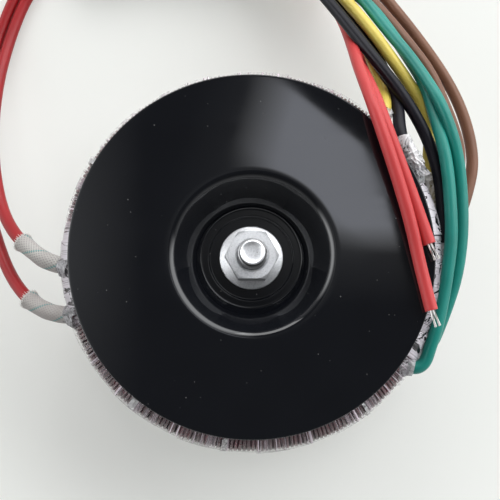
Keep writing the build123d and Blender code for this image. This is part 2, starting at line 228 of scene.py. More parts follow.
class Colours(bpy.types.PropertyGroup):
    """Colours of the leads and of the painted plates."""

    plate: colour_of("Plates", (0.0042, 0.0047, 0.0064))
    enamel: colour_of("Enamel", (0.062, 0.008, 0.0135))
    # painted shade and painted light: the red leads' own colour is painted darker, their ends
    # lighter
    red: colour_of("Red leads", (0.32, 0.009, 0.012))
    red_ends: colour_of("Red lead ends in painted light", (0.54, 0.054, 0.055))
    black: colour_of("Black leads", (0.007, 0.0068, 0.011))
    yellow: colour_of("Yellow leads", (0.68, 0.54, 0.1))
    green: colour_of("Green leads", (0.007, 0.22, 0.18))
    brown: colour_of("Brown leads", (0.183, 0.084, 0.05))


# ---- working with objects ----
def deselect():
    bpy.ops.object.select_all(action="DESELECT")


def only(obj):
    deselect()
    obj.select_set(True)
    bpy.context.view_layer.objects.active = obj


def fresh(name):
    """Names and returns the object that was just added."""
    obj = bpy.context.active_object
    obj.name = name
    obj.data.name = name
    return obj


def settle(obj):
    """Puts the object at the origin, unturned, with its place in its mesh."""
    only(obj)
    bpy.ops.object.transform_apply(location=True, rotation=True, scale=True)
    return obj


def aim(obj, start, direction):
    """Stands an object that was made along +Z at the start, pointing along the direction."""
    turn = Vector(direction).to_track_quat("Z", "Y").to_matrix().to_4x4()
    obj.matrix_world = Matrix.Translation(Vector(start)) @ turn @ obj.matrix_world
    return settle(obj)


def to_mesh(obj):
    only(obj)
    bpy.ops.object.convert(target="MESH")
    return bpy.context.active_object


def joined(name, objs):
    deselect()
    for obj in objs:
        obj.select_set(True)
    bpy.context.view_layer.objects.active = objs[0]
    if len(objs) > 1:
        bpy.ops.object.join()
    return fresh(name)


def modify(obj, name, kind, **settings):
    """Adds a modifier to the object and applies it."""
    modifier = obj.modifiers.new(name, kind)
    for label, value in settings.items():
        setattr(modifier, label, value)
    only(obj)
    bpy.ops.object.modifier_apply(modifier=modifier.name)
    return obj


def crumple(obj, size, depth, direction="NORMAL"):
    """Creases a mesh with a cloudy displacement."""
    texture = bpy.data.textures.new(obj.name + "_creases", "CLOUDS")
    texture.noise_scale = size
    texture.noise_depth = 2
    texture.noise_type = "SOFT_NOISE"
    return modify(obj, "creases", "DISPLACE", texture=texture, texture_coords="LOCAL",
                  direction=direction, strength=depth)


def smooth(obj, degrees):
    only(obj)
    bpy.ops.object.shade_smooth_by_angle(angle=radians(degrees))


def coat(obj, finish):
    obj.data.materials.clear()
    obj.data.materials.append(finish_of(finish))


def dress(obj, finish, slot, *replaced):
    """Gives a new piece its finish, hangs it on the root body and hides the nodes that it stands
    for; the slot is not used.
    """
    coat(obj, finish)
    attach(obj, "root")
    if replaced:
        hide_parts(*replaced)


# ---- shaping in edit mode ----
def pick(obj, test=lambda co: True):
    """Selects the vertices whose place passes the test."""
    mesh = bmesh.from_edit_mesh(obj.data)
    mesh.select_mode = {"VERT"}
    for vertex in mesh.verts:
        vertex.select = bool(test(vertex.co))
    mesh.select_flush_mode()
    bmesh.update_edit_mesh(obj.data)


@contextmanager
def shaping(obj):
    """Edit mode with the whole mesh selected, and object mode again afterwards."""
    bpy.ops.object.mode_set(mode="EDIT")
    pick(obj)
    yield
    bpy.ops.object.mode_set(mode="OBJECT")


def cut(obj, *heights, **settings):
    """Divides the mesh at level planes."""
    for height in heights:
        pick(obj)
        bpy.ops.mesh.bisect(plane_co=(0, 0, height), plane_no=(0, 0, 1), **settings)


def merge(obj, reach=1e-6):
    pick(obj)
    bpy.ops.mesh.remove_doubles(threshold=reach)


def face_outwards():
    bpy.ops.mesh.normals_make_consistent(inside=False)


def spin(steps, angle=2 * pi, centre=(0, 0, 0), copies=False):
    """Sweeps what is selected round +Z, or sets copies of it there."""
    bpy.ops.mesh.spin(steps=steps, dupli=copies, angle=angle, center=centre, axis=(0, 0, 1))


def swing(angle, axis="Z", centre=(0, 0, 0)):
    bpy.ops.transform.rotate(value=angle, orient_axis=axis, center_override=centre)


def three_sides(name, inner, outer, middle, tall):
    """An upright rectangle's outline at Y = 0, without its inner side."""
    deselect()
    bpy.ops.mesh.primitive_plane_add(size=1, location=((inner + outer) / 2, 0, middle),
                                     rotation=(pi / 2, 0, 0))
    line = fresh(name)
    line.scale = (outer - inner, tall, 1)
    settle(line)
    with shaping(line):
        bpy.ops.mesh.delete(type="ONLY_FACE")
        pick(line, lambda co: co.x < inner + NEAR)
        bpy.ops.mesh.delete(type="EDGE_FACE")
    return line


# ---- working with nodes ----
def plug(socket, value):
    """Gives an input its value, or links it."""
    if isinstance(value, bpy.types.NodeSocket):
        socket.id_data.links.new(value, socket)
    else:
        socket.default_value = value


def add(tree, kind, inputs=None, **settings):
    """Adds a node, sets it up, and fills its inputs."""
    node = tree.nodes.new(kind)
    for name, value in settings.items():
        setattr(node, name, value)
    for name, value in (inputs or {}).items():
        plug(node.inputs[name], value)
    return node


def home(values):
    """The node tree of the sockets among the values."""
    return next(v.id_data for v in values if isinstance(v, bpy.types.NodeSocket))


def maths(operation, *values):
    node = add(home(values), "ShaderNodeMath", dict(enumerate(values)), operation=operation)
    return node.outputs[0]


def chain(operation, first, *others):
    for other in others:
        first = maths(operation, first, other)
    return first


times, plus, largest = (partial(chain, kind) for kind in ("MULTIPLY", "ADD", "MAXIMUM"))


def vectors(operation, *values, **named):
    """A Vector Math node, and its number where it makes one."""
    node = add(home(values), "ShaderNodeVectorMath", {**dict(enumerate(values)), **named},
               operation=operation)
    return node.outputs[1 if operation in ("LENGTH", "DOT_PRODUCT") else 0]


def spread(value, low, high, new_low=0.0, new_high=1.0):
    """Maps a value's range to another, clamped."""
    return add(value.id_data, "ShaderNodeMapRange", {
        "Value": value, "From Min": low, "From Max": high, "To Min": new_low, "To Max": new_high,
    }).outputs["Result"]


def blend(share, first, second):
    """A mix of two colours."""
    return add(share.id_data, "ShaderNodeMix", {0: share, 6: first, 7: second},
               data_type="RGBA").outputs[2]


def bump(height, strength, distance):
    return add(height.id_data, "ShaderNodeBump",
               {"Height": height, "Strength": strength, "Distance": distance}).outputs[0]


def noise(place, scale, output="Fac", **looks):
    return add(place.id_data, "ShaderNodeTexNoise",
               {"Vector": place, "Scale": scale, **looks}).outputs[output]


def drawn_out(place, scale, turn):
    """The place, stretched and turned in the level plane."""
    return add(place.id_data, "ShaderNodeMapping",
               {"Vector": place, "Scale": scale, "Rotation": (0, 0, turn)}).outputs[0]


def place_on(tree, kind="Object"):
    return add(tree, "ShaderNodeTexCoord").outputs[kind]


def split(vector):
    return add(vector.id_data, "ShaderNodeSeparateXYZ", {"Vector": vector}).outputs


def off_axis(tree):
    """The distance from the upright axis, and the height."""
    x, y, z = split(place_on(tree))
    return vectors("LENGTH", add(tree, "ShaderNodeCombineXYZ", {"X": x, "Y": y}).outputs[0]), z


def rgb(value, factor=1.0):
    return (*(min(1, c * factor) for c in tuple(value)[:3]), 1)


# ---- effects that several materials share ----
def dust_and_smears(place, speck_size, amount):
    """Specks, hair-thin scratches and faint wiped smears, as on a handled glossy part."""
    cells = add(place.id_data, "ShaderNodeTexVoronoi", {"Vector": place, "Scale": speck_size})
    chance = add(place.id_data, "ShaderNodeSeparateColor", {"Color": cells.outputs["Color"]})
    near = spread(cells.outputs["Distance"], 0.05, 0.3, 1.0, 0.0)
    patch = noise(place, 45.0, Detail=3.0)
    lively = spread(patch, 0.35, 0.75)
    limit = maths("SUBTRACT", 1.0, times(amount, times(lively, 0.09)))
    rare = maths("GREATER_THAN", chance.outputs[0], limit)
    smear = noise(drawn_out(place, (14, 60, 30), 0.6), 1.0, Detail=5.0, Distortion=0.6)
    hairs = noise(drawn_out(place, (25, 2600, 300), 0.15), 1.0, Detail=1.0, Distortion=0.4)
    return {"Specks": times(near, chance.outputs[1], rare), "Smears": spread(smear, 0.42, 0.7),
            "Scratches": times(spread(hairs, 0.68, 0.74), spread(patch, 0.64, 0.72))}


def fine_grain(place, scale, waviness):
    """Fine moulded or sprayed grain over slow waviness."""
    slow = noise(place, 90.0, Detail=2.0)
    return {"Height": plus(noise(place, scale, Detail=3.0), times(slow, waviness)), "Tone": slow}


def wound_turns(place, count):
    """Even divisions round +Z: one random number, and one rounded height, for each turn."""
    x, y, _ = split(place)
    share = plus(maths("DIVIDE", maths("ARCTAN2", y, x), 2 * pi), 1.0)
    turn = times(share, count)
    whole = maths("ROUND", turn)
    dice = add(place.id_data, "ShaderNodeTexWhiteNoise", {"W": whole}, noise_dimensions="1D")
    off = maths("ABSOLUTE", maths("SUBTRACT", turn, whole))
    return {"Random": dice.outputs["Value"], "Height": maths("COSINE", times(off, pi)),
            "Gap": spread(off, 0.36, 0.5)}


def sharp_creases(place, scale, stretch):
    """Sharp creases of crumpled thin film, with a noise that places painted shade along them."""
    tree = place.id_data
    size = add(tree, "ShaderNodeCombineXYZ", {"X": 1.0, "Y": 1.0, "Z": stretch})
    drawn = vectors("MULTIPLY", place, size.outputs[0])
    bend = noise(drawn, 70.0, "Color", Detail=2.0)
    moved = vectors("MULTIPLY_ADD", bend, (0.02, 0.02, 0.02), drawn)
    looks = {"Vector": moved, "Scale": scale}
    facets = add(tree, "ShaderNodeTexVoronoi", looks).outputs
    edges = add(tree, "ShaderNodeTexVoronoi", looks, feature="DISTANCE_TO_EDGE").outputs
    tone = add(tree, "ShaderNodeSeparateColor", {"Color": facets["Color"]}).outputs[0]
    fine = times(noise(drawn, 700.0, Detail=2.0), 0.25)
    return {"Height": plus(facets["Distance"], fine),
            "Ridge": spread(edges["Distance"], 0.0, 0.09, 1.0, 0.0), "Facet": tone,
            "Crease shade": noise(moved, scale, Detail=4.0, Distortion=1.6)}


def drawn_along(place, fineness):
    """Noise that changes quickly round +Z and slowly along a turn, with the exits marked."""
    way = vectors("NORMALIZE", vectors("MULTIPLY", place, (1, 1, 0)))
    along = vectors("MULTIPLY", place, (0, 0, 12))
    fine, broad = (
        noise(vectors("ADD", vectors("SCALE", way, Scale=times(fineness, factor)), along), 1.0,
              Detail=3.0)
        for factor in (1.0, 0.12)
    )
    exits = [spread(vectors("DOT_PRODUCT", way, side), start, start + 0.03)
             for side, start in (((-0.996, -0.087, 0), 0.95), ((0.99, 0.139, 0), 0.74))]
    return {"Fine": fine, "Broad": broad, "Exits": largest(*exits)}


# the name of each effect's node group, what makes it, and its inputs
EFFECTS = {
    "Dust": ("Dust and smears", dust_and_smears, {"Speck size": 900.0, "Amount": 0.5}),
    "Grain": ("Grain", fine_grain, {"Scale": 900.0, "Waviness": 0.3}),
    "Turns": ("Turns", wound_turns, {"Count": 168.0}),
    "Creases": ("Creases", sharp_creases, {"Scale": 160.0, "Stretch": 0.4}),
    "Drawn": ("Drawn", drawn_along, {"Fineness": 60.0}),
}


@cache
def shared(name):
    """The node group of that effect, built once."""
    title, effect, inputs = EFFECTS[name]
    tree = bpy.data.node_groups.new(title, "ShaderNodeTree")
    socket = partial(tree.interface.new_socket, socket_type="NodeSocketFloat")
    for label, default in inputs.items():
        socket(label, in_out="INPUT").default_value = default
    given = tree.nodes.new("NodeGroupInput").outputs
    made = effect(place_on(tree), *(given[label] for label in inputs))
    for label in made:
        socket(label, in_out="OUTPUT")
    result = tree.nodes.new("NodeGroupOutput").inputs
    for label, value in made.items():
        plug(result[label], value)
    return tree


def group(tree, name, **values):
    """Places an effect in a material, with its own values."""
    node = tree.nodes.new("ShaderNodeGroup")
    node.node_tree = shared(name)
    for label, value in values.items():
        node.inputs[label.replace("_", " ")].default_value = value
    return node.outputs


# ---- materials ----
def surface(mat, **inputs):
    """Fills the shader's inputs, each named with underscores for spaces."""
    shader = mat.node_tree.nodes["Principled BSDF"]
    for label, value in inputs.items():
        plug(shader.inputs[label.replace("_", " ")], value)
    return mat


def material(name, **plain):
    """A new material and its node tree, with plain numbers set."""
    mat = bpy.data.materials.new(name)
    mat.use_nodes = True
    return surface(mat, **plain), mat.node_tree


def plate_paint(base):
    """Glossy black stove enamel with dust, hair scratches and faint wiping marks."""
    mat, tree = material("plate_paint", IOR=1.5)
    dust = group(tree, "Dust", Speck_size=1300.0, Amount=0.35)
    grain = group(tree, "Grain", Scale=1500.0, Waviness=0.5)
    tone = blend(grain["Tone"], rgb(base), rgb(base, 1.35))
    marks = largest(times(dust["Specks"], 0.7), times(dust["Scratches"], 0.08))
    rough = plus(spread(dust["Smears"], 0, 1, 0.03, 0.075), times(marks, 0.4))
    return surface(mat, Base_Color=blend(marks, tone, (0.25, 0.25, 0.24, 1)), Roughness=rough,
                   Normal=bump(grain["Height"], 0.01, 0.00002))


def zinc():
    """Bright zinc plate with soft handling marks, and painted shade: a dark ring at the thread's
    edge, darker upright sides and a darker flange rim.
    """
    mat, tree = material("zinc")
    dust = group(tree, "Dust", Speck_size=1600.0, Amount=1.6)
    grain = group(tree, "Grain", Scale=2200.0, Waviness=0.8)
    tone = blend(grain["Tone"], (0.72, 0.73, 0.75, 1), (0.95, 0.96, 0.98, 1))
    dull = blend(spread(grain["Height"], 0.78, 1.08, 0, 0.35), tone, (0.34, 0.35, 0.38, 1))
    marked = blend(dust["Specks"], dull, (0.22, 0.21, 0.2, 1))
    out, height = off_axis(tree)
    top = spread(height, 45 * MM, 50 * MM)

    def band(start, full, fade, end, level):
        """A ring of the top, between distances from the axis in millimetres."""
        inside = spread(out, fade * MM, end * MM, level, 0)
        return times(spread(out, start * MM, full * MM), inside, top)

    # painted shade: the thread's edge, the upright sides and the flange rim are darkened in the
    # colour
    thread_shade = band(3.3, 3.6, 3.9, 4.3, 0.65)
    nut_face = band(4.1, 4.4, 6.2, 6.6, 1)
    facing = split(add(tree, "ShaderNodeNewGeometry").outputs["Normal"])["Z"]
    upright = spread(maths("ABSOLUTE", facing), 0.25, 0.6, 0.5, 0)
    flange = spread(out, 6.3 * MM, 6.8 * MM, 0, 0.22)
    painted_shade = largest(thread_shade, upright, flange)
    return surface(mat, Base_Color=blend(painted_shade, marked, (0.13, 0.13, 0.125, 1)),
                   Metallic=spread(nut_face, 0, 1, 0.9, 0.25),
                   Roughness=spread(dust["Smears"], 0, 1, 0.4, 0.52),
                   Normal=bump(grain["Height"], 0.2, 0.00005))


def rubber():
    """Dull black rubber with moulded grain."""
    mat, tree = material("rubber_pad", Specular_IOR_Level=0.35)
    grain = group(tree, "Grain", Scale=1200.0, Waviness=0.4)
    dust = group(tree, "Dust", Speck_size=900.0, Amount=1.5)
    tone = blend(grain["Tone"], (0.012, 0.012, 0.012, 1), (0.03, 0.03, 0.029, 1))
    return surface(mat, Base_Color=blend(dust["Specks"], tone, (0.15, 0.14, 0.13, 1)),
                   Roughness=spread(grain["Tone"], 0, 1, 0.75, 0.9),
                   Normal=bump(grain["Height"], 0.3, 0.0001))


def grained(name, scale, waviness, tones, rough, relief=None, **plain):
    """A plain finish of two tones, with fine grain."""
    mat, tree = material(name, **plain)
    grain = group(tree, "Grain", Scale=scale, Waviness=waviness)
    if relief:
        surface(mat, Normal=bump(grain["Height"], *relief))
    return surface(mat, Base_Color=blend(grain["Tone"], *tones),
                   Roughness=spread(grain["Tone"], 0, 1, *rough))


def enamelled_wire(base, count):
    """Enamelled copper wire, each turn with its own tone."""
    mat, tree = material("enamelled_wire", IOR=1.5, Coat_Weight=0.6, Coat_Roughness=0.08)
    turns = group(tree, "Turns", Count=float(count))
    drawn = group(tree, "Drawn", Fineness=220.0)
    grain = group(tree, "Grain", Scale=800.0, Waviness=0.6)
    own = blend(turns["Random"], rgb(base, 0.35), rgb(base, 1.9))
    tone = blend(spread(drawn["Fine"], 0.4, 0.65), own, rgb(base, 0.6))
    return surface(mat, Base_Color=tone, Roughness=spread(grain["Tone"], 0.3, 0.7, 0.22, 0.36),
                   Normal=bump(grain["Height"], 0.15, 0.00005))


def coil_film(tint):
    """Clear film over the coil: pale streaks along its wraps, partly film edges and partly painted
    highlights; at the lead exits a thicker, paler film, partly painted reflection, with painted
    shade in its creases; and a painted sheen seen edge on.
    """
    mat, tree = material("coil_film", IOR=1.65)
    drawn = group(tree, "Drawn", Fineness=110.0)
    creases = group(tree, "Creases", Scale=330.0, Stretch=0.22)
    grain = group(tree, "Grain", Scale=500.0, Waviness=1.0)
    facing = add(tree, "ShaderNodeLayerWeight", {"Blend": 0.5}).outputs["Facing"]
    # painted highlight: the pale streaks stand partly for film edges and partly for highlights
    streaks = spread(drawn["Fine"], 0.58, 0.63)
    patches = spread(drawn["Broad"], 0.46, 0.6)
    milky = times(spread(drawn["Broad"], 0.36, 0.42, 1.0, 0.0), 0.3)
    thin = largest(milky, times(streaks, spread(patches, 0, 1, 0.25, 0.95)))
    thick = times(drawn["Exits"], spread(drawn["Fine"], 0.34, 0.44, 0.12, 0.85))
    rise = split(place_on(tree))["Z"]
    # painted shade: near-black lines in the creases at the exits, stronger higher up
    crease_shade = times(drawn["Exits"], spread(rise, 28 * MM, 40 * MM, 0.15, 1))
    line = times(crease_shade, spread(creases["Crease shade"], 0.55, 0.59))
    # painted sheen: the pale film shows more where it is seen edge on
    edge = spread(facing, 0.92, 1.0, 0.03, 0.5)
    height = plus(drawn["Fine"], times(creases["Height"], 0.25))
    tone = blend(patches, rgb(tint, 0.85), rgb(tint, 1.1))
    # painted reflection: the exits are painted paler, partly for a thicker gathered film
    pale = blend(drawn["Exits"], tone, (0.8, 0.75, 0.8, 1))
    return surface(mat, Base_Color=blend(line, pale, (0.015, 0.012, 0.015, 1)),
                   Roughness=spread(grain["Tone"], 0.3, 0.7, 0.1, 0.26),
                   Alpha=largest(thin, thick, largest(line, edge)),
                   Normal=bump(height, 0.5, 0.0006))


def crumpled_film(name, tint, low, scale):
    """Loose clear film: glassy facets between sharp creases, with painted shade as grey patches and
    dark lines along the creases.
    """
    mat, tree = material(name, IOR=1.6)
    creases = group(tree, "Creases", Scale=scale, Stretch=0.5)
    grain = group(tree, "Grain", Scale=500.0, Waviness=1.0)
    patch = spread(grain["Tone"], 0.35, 0.65)
    facet = spread(creases["Facet"], 0, 1, low, 0.95)
    # painted shade: dark scribbles and grey patches along the creases, and darker crease ridges
    dark = spread(creases["Crease shade"], 0.6, 0.64)
    clear = blend(patch, rgb(tint, 0.8), rgb(tint))
    tone = blend(spread(creases["Crease shade"], 0.48, 0.6), clear, rgb(tint, 0.45))
    line = largest(dark, times(creases["Ridge"], 0.25))
    return surface(mat, Base_Color=blend(line, tone, rgb(tint, 0.05)),
                   Roughness=spread(grain["Tone"], 0.3, 0.7, 0.08, 0.24),
                   Alpha=largest(times(dark, 0.9), facet),
                   Normal=bump(creases["Height"], 0.7, 0.0008))


def pvc(name, base, gloss, ends=None):
    """Lead insulation: slightly waxy plastic with handling marks; given a second colour, it turns to
    that colour towards +X, as painted light where the red leads lie over the plate.
    """
    mat, tree = material(name, IOR=1.5, Specular_IOR_Level=gloss)
    grain = group(tree, "Grain", Scale=1300.0, Waviness=0.7)
    dust = group(tree, "Dust", Speck_size=1000.0, Amount=1.2)
    tone = blend(spread(grain["Tone"], 0.3, 0.7), rgb(base, 0.88), rgb(base, 1.1))
    # painted light: the red leads are painted lighter towards +X, and their own colour at the left
    # is a painted shade of red
    if ends:
        across = split(place_on(tree))["X"]
        tone = blend(spread(across, -5 * MM, 35 * MM), tone, rgb(ends))
    return surface(mat, Base_Color=blend(dust["Specks"], tone, rgb(base, 0.5)),
                   Roughness=spread(dust["Smears"], 0, 1, 0.36, 0.5),
                   Normal=bump(grain["Height"], 0.18, 0.00008))


def braid():
    """Woven glass-fibre sleeve with a coloured tracer yarn, and painted shade in the grooves between
    its yarns.
    """
    crossings, yarns, tracer_every = 15.0, 16.0, 8.0
    mat, tree = material("braid", IOR=1.45, Specular_IOR_Level=0.3)
    x, y, _ = split(place_on(tree, "UV"))
    along, around = times(x, crossings), times(y, yarns)
    one = maths("FRACT", plus(along, around))
    other = maths("FRACT", plus(maths("SUBTRACT", around, along), 40.0))
    ridge_one, ridge_other = (maths("SINE", times(yarn, pi)) for yarn in (one, other))
    on_top = maths("GREATER_THAN", ridge_one, ridge_other)
    height = largest(ridge_one, ridge_other)
    yarn = plus(maths("FLOOR", plus(along, around)), 20.0)
    tracer = maths("LESS_THAN", maths("MODULO", yarn, tracer_every), 0.5)
    grain = group(tree, "Grain", Scale=2500.0, Waviness=0.6)
    # painted shade: the yarns are painted darker in the grooves and lighter on their crowns
    glass = blend(spread(height, 0.5, 1.0), (0.33, 0.31, 0.3, 1), (0.56, 0.54, 0.51, 1))
    soiled = blend(spread(grain["Tone"], 0.42, 0.7), glass, (0.4, 0.365, 0.35, 1))
    shown = times(tracer, on_top, 0.75)
    return surface(mat, Base_Color=blend(shown, soiled, (0.08, 0.3, 0.29, 1)),
                   Roughness=spread(grain["Tone"], 0, 1, 0.6, 0.85),
                   Normal=bump(plus(height, times(grain["Height"], 0.3)), 0.6, 0.0002))


def wound_tape(name, light, dark, count):
    """Insulating tape wound in laps, or close turns of wire, across the ring."""
    mat, tree = material(name, IOR=1.5)
    turns = group(tree, "Turns", Count=count)
    grain = group(tree, "Grain", Scale=900.0, Waviness=0.5)
    tone = blend(turns["Random"], light, dark)
    return surface(mat, Base_Color=blend(turns["Gap"], tone, dark),
                   Roughness=spread(grain["Tone"], 0, 1, 0.3, 0.5),
                   Normal=bump(turns["Height"], 0.5, 0.0004))


def core_strip():
    """Edges of the silicon steel strip that the core is wound from."""
    mat, tree = material("core_strip", Metallic=1.0)
    rings = maths("SINE", times(off_axis(tree)[0], 20000.0))
    tone = blend(spread(rings, -1, 1), (0.25, 0.26, 0.28, 1), (0.5, 0.51, 0.53, 1))
    return surface(mat, Base_Color=tone, Roughness=spread(rings, -1, 1, 0.35, 0.55),
                   Normal=bump(rings, 0.3, 0.00005))


# how glossy each colour of lead is
PVC_GLOSS = {"red": 0.3, "black": 0.17, "yellow": 0.38, "green": 0.38, "brown": 0.28}
FINISHES = {
    "zinc": zinc,
    "rubber": rubber,
    "braid": braid,
    "core": core_strip,
    "film": partial(coil_film, (0.8, 0.7, 0.77)),
    "sleeve_film": partial(crumpled_film, "sleeve_film", (0.95, 0.94, 0.95), 0.45, 560.0),
    # painted shade: the knot film is a dark grey film where the leads go into the coil
    "knot_film_shaded": partial(crumpled_film, "knot_film_shaded", (0.5, 0.49, 0.51), 0.5, 640.0),
    "fibre": partial(grained, "fibre", 900.0, 1.0, ((0.5, 0.48, 0.45, 1), (0.85, 0.84, 0.8, 1)),
                     (0.35, 0.6), IOR=1.5),
    "tinned": partial(grained, "tinned_copper", 1500.0, 0.8,
                      ((0.42, 0.4, 0.38, 1), (0.86, 0.85, 0.83, 1)), (0.22, 0.45),
                      (0.2, 0.00005), Metallic=1.0),
    "nylon": partial(grained, "tie_nylon", 1800.0, 0.6,
                     ((0.012, 0.012, 0.012, 1), (0.03, 0.03, 0.03, 1)), (0.35, 0.55),
                     (0.15, 0.00006), IOR=1.5),
    "tape": partial(wound_tape, "insulating_tape", (0.75, 0.6, 0.25, 1), (0.45, 0.34, 0.12, 1),
                    34.0),
    "primary": partial(wound_tape, "primary_turns", (0.3, 0.08, 0.03, 1), (0.07, 0.015, 0.01, 1),
                       240.0),
}


@cache
def finish_of(name):
    """The material of that name, made once."""
    scene = bpy.context.scene
    colours = scene.transformer_colours
    if name in PVC_GLOSS:
        ends = colours.red_ends if name == "red" else None
        return pvc(f"{name}_pvc", getattr(colours, name), PVC_GLOSS[name], ends)
    if name == "plate":
        return plate_paint(colours.plate)
    if name == "enamel":
        return enamelled_wire(colours.enamel, scene.transformer_coil.turns)
    return FINISHES[name]()


# ---- leads and what is on them ----
def cord_along(name, kind, places, radius, rounding):
    """A round cord along the places, and its spline."""
    curve = bpy.data.curves.new(name, "CURVE")
    curve.dimensions = "3D"
    spline = curve.splines.new(kind)
    spline.points.add(len(places) - 1)
    for point, place in zip(spline.points, places):
        point.co = (*place, 1)
    curve.bevel_depth = radius
    curve.bevel_resolution = rounding
    obj = bpy.data.objects.new(name, curve)
    bpy.context.collection.objects.link(obj)
    return obj, spline


def wire_along(name, route, radius, fineness=12):
    """A capped cord, smooth through the bends of a route in millimetres."""
    places = [[c * MM for c in place] for place in route]
    obj, spline = cord_along(name, "NURBS", places, radius, 5)
    spline.order_u = 3
    spline.use_endpoint_u = True
    obj.data.resolution_u = fineness
    obj.data.use_fill_caps = True
    return obj


def hose(name, places, radii):
    """An open tube along close places, with a radius at each, and its own UV map."""
    obj, spline = cord_along(name, "POLY", places, 1.0, 8)
    for point, radius in zip(spline.points, radii):
        point.radius = radius
    return to_mesh(obj)


def centreline(route, length):
    """Points along the lead's smooth line, up to a length and no closer than STEP."""
    bare = wire_along("measure", route, 0.0, 24)
    points = [v.co.copy() for v in bpy.data.meshes.new_from_object(bare).vertices]
    bpy.data.objects.remove(bare)
    kept, gone = [points[0]], 0.0
    for before, here in zip(points, points[1:]):
        gone += (here - before).length
        if (here - kept[-1]).length >= STEP:
            kept.append(here)
        if gone > length:
            break
    return kept


def wobble(step, seed):
    """A small repeatable unevenness between -1 and 1."""
    return sin(step * 1.7 + seed * 5.1) * 0.5 + sin(step * 0.63 + seed * 2.3) * 0.5


class TRANSFORMER_OT_leads(bpy.types.Operator):
    """Lays the ten insulated leads along their routes"""

    bl_idname = "transformer.leads"
    bl_label = "Leads"

    def execute(self, context):
        radius = context.scene.transformer_leads.diameter / 2
        for name, route in ROUTES.items():
            tone = name.split("_")[0]
            wire = wire_along(name.replace("lead", "wire"), route, radius)
            dress(wire, tone, f"lead_{tone}", name)
        return {"FINISHED"}


class TRANSFORMER_OT_sleeves(bpy.types.Operator):
    """Pulls the braided sleeves over the red leads and the clear ones over the others"""

    bl_idname = "transformer.sleeves"
    bl_label = "Sleeves"

    # unevenness, widening at the mouth, and gathering at the coil, as shares of the radius
    BRAID = (0.03, 0.2, 0.08)
    FILM = (0.09, 0.12, 0.2)
    # over how many points the mouth widens and the foot is gathered
    MOUTH, FOOT = 5, 6
    HAIRS = 38
    HAIR_RADII = [0.09 * MM, 0.07 * MM, 0.03 * MM]

    def execute(self, context):
        sizes = context.scene.transformer_leads
        for seed, (name, route) in enumerate(ROUTES.items()):
            points = centreline(route, SLEEVED[name] * MM)
            braided = name in RED_ROUTES
            size = (sizes.braid if braided else sizes.film) / 2
            uneven, opened, gathered = self.BRAID if braided else self.FILM
            radii = []
            for i in range(len(points)):
                left = len(points) - 1 - i
                mouth = max(0, 1 - left / self.MOUTH) ** 2 * opened
                foot = max(0, 1 - i / self.FOOT) * gathered
                radii.append(size * (1 + uneven * wobble(i * 0.4, seed) + mouth - foot))
            tube = hose(name.replace("lead", "sheath"), points, radii)
            if not braided:
                crumple(tube, 2.2 * MM, 1.0 * MM)
            smooth(tube, 60)
            dress(tube, "braid" if braided else "sleeve_film",
                  "sleeve_braid" if braided else "sleeve_film", name.replace("lead", "sleeve"))
            if braided:
                self.fray(name, points, radii[-1])
        return {"FINISHED"}

    def fray(self, name, points, radius):
        """Loose fibres round the cut mouth of a braided sleeve."""
        end, before = points[-1], points[-3]
        along = (end - before).normalized()
        side = along.orthogonal().normalized()
        hairs = []
        for i in range(self.HAIRS):
            out = side.copy()
            out.rotate(Matrix.Rotation(i * 2 * pi / self.HAIRS + 0.1 * wobble(i, 3), 3, along))
            root = end + out * radius * 0.96
            reach = (0.55 + 0.45 * wobble(i, 7)) * MM
            lean = 0.35 + 0.3 * wobble(i, 11)
            tip = root + (along + out * lean).normalized() * reach
            middle = (root + tip) / 2 + out * 0.12 * MM
            start = root - along * 0.5 * MM
            hairs.append(hose(f"hair_{i}", [start, middle, tip], self.HAIR_RADII))
        dress(joined(name.replace("lead", "fray"), hairs), "fibre", "sleeve_braid")


class TRANSFORMER_OT_tips(bpy.types.Operator):
    """Adds the stripped, tinned strands at the leads' free ends"""

    bl_idname = "transformer.tips"
    bl_label = "Tinned tips"

    # number of strands, their radius, length, twist, and spread at the end
    HALF_TIP = (4, 0.125 * MM, 5.0 * MM, 1.4, 0.04 * MM)
    WHOLE_TIP = (7, 0.23 * MM, 6.2 * MM, 2.2, 0.12 * MM)

    def strands(self, name, count, radius, length, twist, parted):
        """A twisted bundle of fine strands along +Z."""
        deselect()
        bpy.ops.mesh.primitive_cylinder_add(
            vertices=7, radius=radius, depth=length, location=(radius * 1.9, 0, length / 2)
        )
        one = settle(fresh(name))
        with shaping(one):
            cut(one, length / 3, length * 2 / 3)
            pick(one, lambda co: co.z > length - TOUCHING)
            bpy.ops.transform.translate(value=(parted, 0, 0))
            pick(one)
            spin(count, copies=True)
        return modify(one, "twist", "SIMPLE_DEFORM", deform_method="TWIST", deform_axis="Z",
                      angle=twist)

    def execute(self, context):
        for name, route in ROUTES.items():
            before, end = (Vector(p) * MM for p in route[-2:])
            along = (end - before).normalized()
            tip, bundle_name = (name.replace("lead", part) for part in ("tip", "strands"))
            if name in RED_ROUTES:
                side = along.cross(Vector((0, 0, 1))).normalized()
                parts = []
                for way in (1, -1):
                    lean = (along + side * (0.05 * way - 0.12)).normalized()
                    start = end + side * 0.34 * MM * way - along * 0.4 * MM
                    parts.append(aim(self.strands(f"{tip}_{way}", *self.HALF_TIP), start, lean))
                bundle = joined(bundle_name, parts)
            else:
                bundle = aim(self.strands(tip, *self.WHOLE_TIP), end - along * 0.3 * MM, along)
                bundle.name = bundle_name
            smooth(bundle, 50)
            dress(bundle, "tinned", "tinned_copper", tip)
        return {"FINISHED"}


